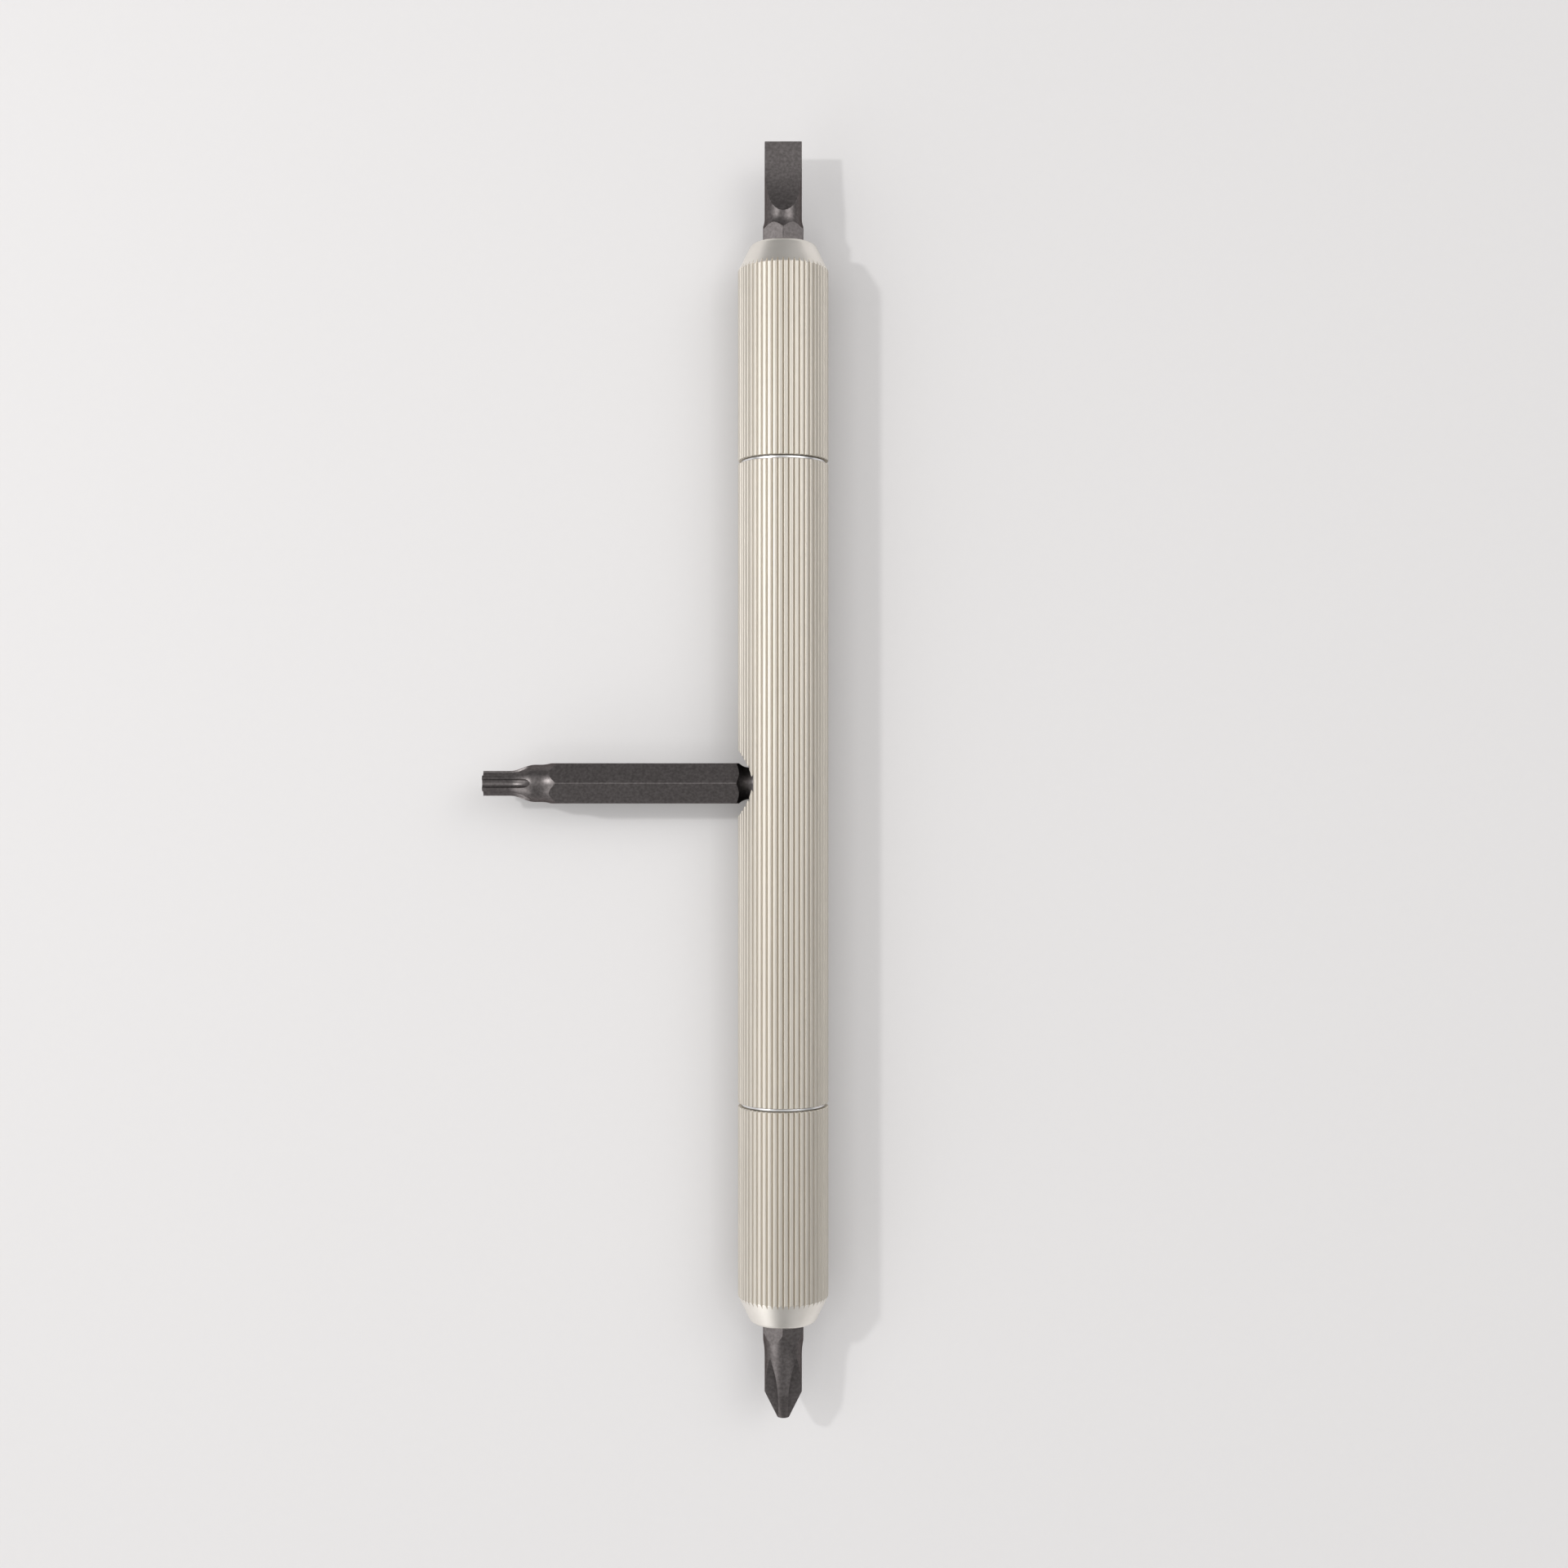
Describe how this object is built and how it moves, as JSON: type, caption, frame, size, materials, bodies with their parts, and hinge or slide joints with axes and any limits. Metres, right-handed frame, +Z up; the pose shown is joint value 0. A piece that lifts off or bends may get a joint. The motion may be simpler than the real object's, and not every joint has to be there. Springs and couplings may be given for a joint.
{
  "type": "two-ended screwdriver with cross lever",
  "caption": "Knurled round handle with a hex bit in each screwed-on end cap and a third hex bit in a blind cross hole as a turning lever.",
  "frame": {"origin": "on the flat crest of the lowest knurl rib, under the middle of the barrel, where the tool rests on a table", "axes": "+Y along the handle towards the slotted bit, -X along the star bit in the cross hole, +Z up from the table"},
  "size_m": [0.0546, 0.2015, 0.0143],
  "materials": {
    "handle_aluminium": "satin, warm clear-anodised",
    "socket_steel": "polished turned stainless steel",
    "magnet_nickel": "nickel plated magnet",
    "spring_steel": "bright spring wire",
    "seal_rubber": "matte black rubber",
    "bit_steel": "satin black-oxide tool steel"
  },
  "bodies": {
    "barrel": {"barrel": "handle_aluminium", "lever_socket": "socket_steel", "lever_magnet": "magnet_nickel"},
    "slotted_end_seal": {"slotted_end_o_ring": "seal_rubber"},
    "slotted_end": {"slotted_end_cap": "handle_aluminium", "slotted_end_socket": "socket_steel", "slotted_end_magnet": "magnet_nickel", "slotted_end_snap_ring": "spring_steel"},
    "slotted_bit": {"slotted_bit": "bit_steel"},
    "phillips_end_seal": {"phillips_end_o_ring": "seal_rubber"},
    "phillips_end": {"phillips_end_cap": "handle_aluminium", "phillips_end_socket": "socket_steel", "phillips_end_magnet": "magnet_nickel", "phillips_end_snap_ring": "spring_steel"},
    "phillips_bit": {"phillips_bit": "bit_steel"},
    "lever_bit": {"torx_bit": "bit_steel"}
  },
  "joints": [
    {"name": "slotted_end_travel", "type": "slide", "parent": "barrel", "child": "slotted_end_seal", "axis": [0, 1, 0], "range_m": [0, 0.011]},
    {"name": "slotted_end_turn", "type": "hinge", "parent": "slotted_end_seal", "child": "slotted_end", "pos_m": [0, 0.068, 0.00715], "axis": [0, 1, 0], "range_deg": [0, 3960]},
    {"name": "slotted_bit_pull", "type": "slide", "parent": "slotted_end", "child": "slotted_bit", "axis": [0, 1, 0], "range_m": [0, 0.036], "deforming": ["slotted_end_snap_ring"]},
    {"name": "phillips_end_travel", "type": "slide", "parent": "barrel", "child": "phillips_end_seal", "axis": [0, -1, 0], "range_m": [0, 0.011]},
    {"name": "phillips_end_turn", "type": "hinge", "parent": "phillips_end_seal", "child": "phillips_end", "pos_m": [0, -0.068, 0.00715], "axis": [0, -1, 0], "range_deg": [0, 3960]},
    {"name": "phillips_bit_pull", "type": "slide", "parent": "phillips_end", "child": "phillips_bit", "axis": [0, -1, 0], "range_m": [0, 0.036], "deforming": ["phillips_end_snap_ring"]},
    {"name": "lever_bit_pull", "type": "slide", "parent": "barrel", "child": "lever_bit", "axis": [-1, 0, 0], "range_m": [0, 0.012]}
  ],
  "couplings": [
    {"joint": "slotted_end_turn", "follows": "slotted_end_travel", "rad_per_m": 6283.2},
    {"joint": "phillips_end_turn", "follows": "phillips_end_travel", "rad_per_m": 6283.2}
  ]
}
